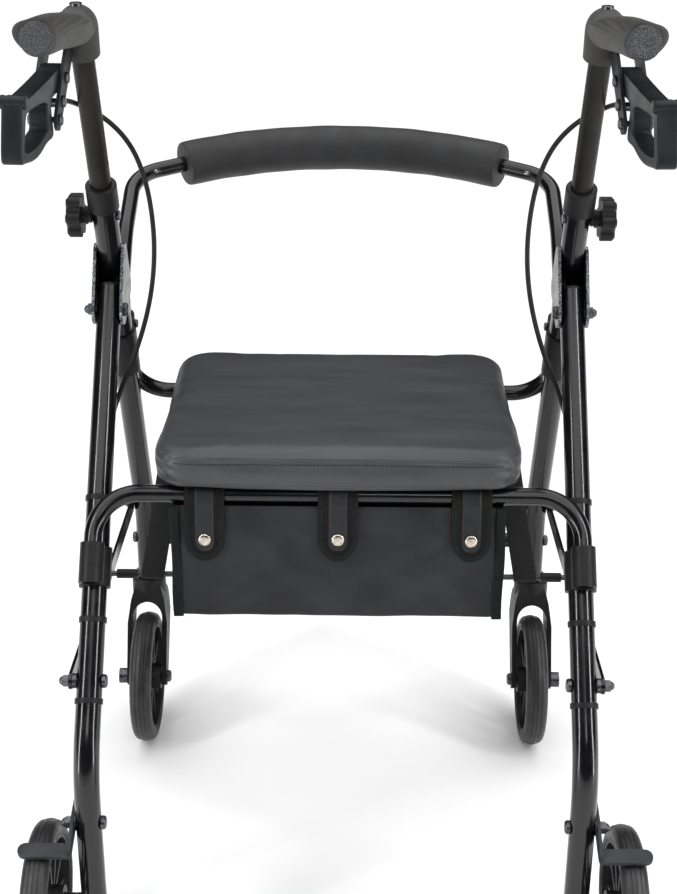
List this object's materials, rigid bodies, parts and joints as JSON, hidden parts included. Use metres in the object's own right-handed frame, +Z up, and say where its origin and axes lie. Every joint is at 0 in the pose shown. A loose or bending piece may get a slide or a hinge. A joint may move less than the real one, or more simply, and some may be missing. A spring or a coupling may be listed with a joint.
{
  "type": "rollator walker",
  "caption": "Folding wheeled walker with padded seat, curved padded backrest, seat pouch, telescoping handles, loop brake levers, swivelling front wheels and braked rear wheels.",
  "frame": {"origin": "on the floor, midway between the two sides and between the rearmost and foremost points", "axes": "+Z up, +Y the direction of travel, +X to the user's right"},
  "size_m": [0.6054, 0.668, 0.8886],
  "materials": {
    "frame_paint": "gloss black powder coat",
    "post_paint": "satin black",
    "bracket_paint": "satin black",
    "black_plastic": "satin moulded",
    "grip_rubber": "matte",
    "tyre": "matte, grooved",
    "wheel_plastic": "satin moulded",
    "vinyl": "fine grained, soft sheen",
    "foam": "matte closed-cell foam",
    "pouch_cloth": "woven nylon",
    "webbing": "ribbed webbing",
    "nickel": "polished",
    "fastener": "black zinc",
    "cable_sheath": "satin sheath",
    "board": "matte"
  },
  "bodies": {
    "front_frame": {"front_tube_left": "frame_paint", "front_tube_right": "frame_paint", "fold_plates": "frame_paint", "height_collars": "black_plastic", "front_seat_rail": "frame_paint", "front_sleeves": "black_plastic", "cross_tube": "frame_paint", "frame_bolts": "fastener", "stem_bearings": "black_plastic", "backrest_tube": "frame_paint", "backrest_foam": "foam", "lift_straps": "webbing", "brake_cables_upper": "cable_sheath"},
    "rear_frame": {"rear_leg_left": "frame_paint", "rear_leg_right": "frame_paint", "leg_caps": "black_plastic", "rear_seat_rail": "frame_paint", "rear_sleeves": "black_plastic", "rear_bolts": "fastener", "cable_clips": "black_plastic", "brake_cables_lower": "cable_sheath"},
    "stay_link": {"front_stays": "frame_paint", "stay_rod": "fastener", "rod_sleeves": "black_plastic"},
    "seat": {"seat_pad": "vinyl", "seat_board": "board", "seat_hinges": "black_plastic", "seat_rests": "grip_rubber"},
    "pouch": {"pouch": "pouch_cloth", "pouch_flaps": "pouch_cloth", "pouch_snaps": "nickel"},
    "stay_rear_left": {"rear_stay_left": "frame_paint"},
    "handle_left": {"handle_post_left": "post_paint", "grip_left": "grip_rubber", "brake_bracket_left": "bracket_paint", "handle_bolts_left": "fastener"},
    "lever_left": {"brake_lever_left": "black_plastic"},
    "brake_shoe_left": {"brake_arm_left": "bracket_paint"},
    "knob_left": {"height_knob_left": "black_plastic"},
    "caster_left": {"caster_fork_left": "black_plastic", "caster_axle_left": "fastener"},
    "front_roller_left": {"front_wheel_left": "wheel_plastic", "front_tyre_left": "tyre"},
    "rear_roller_left": {"rear_wheel_left": "wheel_plastic", "rear_tyre_left": "tyre"},
    "stay_rear_right": {"rear_stay_right": "frame_paint"},
    "handle_right": {"handle_post_right": "post_paint", "grip_right": "grip_rubber", "brake_bracket_right": "bracket_paint", "handle_bolts_right": "fastener"},
    "lever_right": {"brake_lever_right": "black_plastic"},
    "brake_shoe_right": {"brake_arm_right": "bracket_paint"},
    "knob_right": {"height_knob_right": "black_plastic"},
    "caster_right": {"caster_fork_right": "black_plastic", "caster_axle_right": "fastener"},
    "front_roller_right": {"front_wheel_right": "wheel_plastic", "front_tyre_right": "tyre"},
    "rear_roller_right": {"rear_wheel_right": "wheel_plastic", "rear_tyre_right": "tyre"}
  },
  "joints": [
    {"name": "frame_fold", "type": "hinge", "parent": "front_frame", "child": "rear_frame", "pos_m": [0, 0.02013, 0.58006], "axis": [1, 0, 0], "range_deg": [0, 33], "deforming": ["lift_straps", "brake_cables_upper"]},
    {"name": "stay_front_fold", "type": "hinge", "parent": "front_frame", "child": "stay_link", "pos_m": [0, 0.19309, 0.2852], "axis": [1, 0, 0], "range_deg": [-46, 0]},
    {"name": "pouch_hang", "type": "hinge", "parent": "rear_frame", "child": "pouch", "pos_m": [0, -0.11741, 0.443], "axis": [1, 0, 0], "range_deg": [-33, 0]},
    {"name": "seat_flip", "type": "hinge", "parent": "front_frame", "child": "seat", "pos_m": [0, 0.15218, 0.443], "axis": [1, 0, 0], "range_deg": [-88, 0]},
    {"name": "stay_rear_fold_left", "type": "hinge", "parent": "rear_frame", "child": "stay_rear_left", "pos_m": [-0.2476, -0.20581, 0.29086], "axis": [1, 0, 0], "range_deg": [0, 37]},
    {"name": "height_slide_left", "type": "slide", "parent": "front_frame", "child": "handle_left", "axis": [0, -0.3907, 0.9205], "range_m": [-0.1, 0.02], "deforming": ["brake_cables_upper"]},
    {"name": "brake_lever_pull_left", "type": "hinge", "parent": "handle_left", "child": "lever_left", "pos_m": [-0.24978, -0.08601, 0.825], "axis": [-0.9986, 0.0523, 0], "range_deg": [0, 12], "stiffness_Nm_per_rad": 1.5},
    {"name": "brake_shoe_press_left", "type": "hinge", "parent": "rear_frame", "child": "brake_shoe_left", "pos_m": [-0.2445, -0.257, 0.169], "axis": [1, 0, 0], "range_deg": [0, 5.5]},
    {"name": "knob_turn_left", "type": "hinge", "parent": "front_frame", "child": "knob_left", "pos_m": [-0.258, 0.0282, 0.67366], "axis": [1, 0, 0], "continuous": true},
    {"name": "caster_swivel_left", "type": "hinge", "parent": "front_frame", "child": "caster_left", "pos_m": [-0.23, 0.197, 0.19], "axis": [0, 0, 1], "continuous": true},
    {"name": "front_wheel_spin_left", "type": "hinge", "parent": "caster_left", "child": "front_roller_left", "pos_m": [-0.23, 0.146, 0.077], "axis": [1, 0, 0], "continuous": true},
    {"name": "rear_wheel_spin_left", "type": "hinge", "parent": "rear_frame", "child": "rear_roller_left", "pos_m": [-0.276, -0.257, 0.077], "axis": [1, 0, 0], "continuous": true},
    {"name": "stay_rear_fold_right", "type": "hinge", "parent": "rear_frame", "child": "stay_rear_right", "pos_m": [0.2476, -0.20581, 0.29086], "axis": [1, 0, 0], "range_deg": [0, 37]},
    {"name": "height_slide_right", "type": "slide", "parent": "front_frame", "child": "handle_right", "axis": [0, -0.3907, 0.9205], "range_m": [-0.1, 0.02], "deforming": ["brake_cables_upper"]},
    {"name": "brake_lever_pull_right", "type": "hinge", "parent": "handle_right", "child": "lever_right", "pos_m": [0.24978, -0.08601, 0.825], "axis": [-0.9986, -0.0523, 0], "range_deg": [0, 12], "stiffness_Nm_per_rad": 1.5},
    {"name": "brake_shoe_press_right", "type": "hinge", "parent": "rear_frame", "child": "brake_shoe_right", "pos_m": [0.2445, -0.257, 0.169], "axis": [1, 0, 0], "range_deg": [0, 5.5]},
    {"name": "knob_turn_right", "type": "hinge", "parent": "front_frame", "child": "knob_right", "pos_m": [0.258, 0.0282, 0.67366], "axis": [1, 0, 0], "continuous": true},
    {"name": "caster_swivel_right", "type": "hinge", "parent": "front_frame", "child": "caster_right", "pos_m": [0.23, 0.197, 0.19], "axis": [0, 0, 1], "continuous": true},
    {"name": "front_wheel_spin_right", "type": "hinge", "parent": "caster_right", "child": "front_roller_right", "pos_m": [0.23, 0.146, 0.077], "axis": [1, 0, 0], "continuous": true},
    {"name": "rear_wheel_spin_right", "type": "hinge", "parent": "rear_frame", "child": "rear_roller_right", "pos_m": [0.276, -0.257, 0.077], "axis": [1, 0, 0], "continuous": true}
  ],
  "couplings": [
    {"joint": "stay_front_fold", "follows": "frame_fold", "ratio": -1.376},
    {"joint": "pouch_hang", "follows": "frame_fold", "ratio": -1},
    {"joint": "stay_rear_fold_left", "follows": "frame_fold", "ratio": 1.106},
    {"joint": "brake_shoe_press_left", "follows": "brake_lever_pull_left", "ratio": 0.458},
    {"joint": "stay_rear_fold_right", "follows": "frame_fold", "ratio": 1.106},
    {"joint": "brake_shoe_press_right", "follows": "brake_lever_pull_right", "ratio": 0.458}
  ]
}
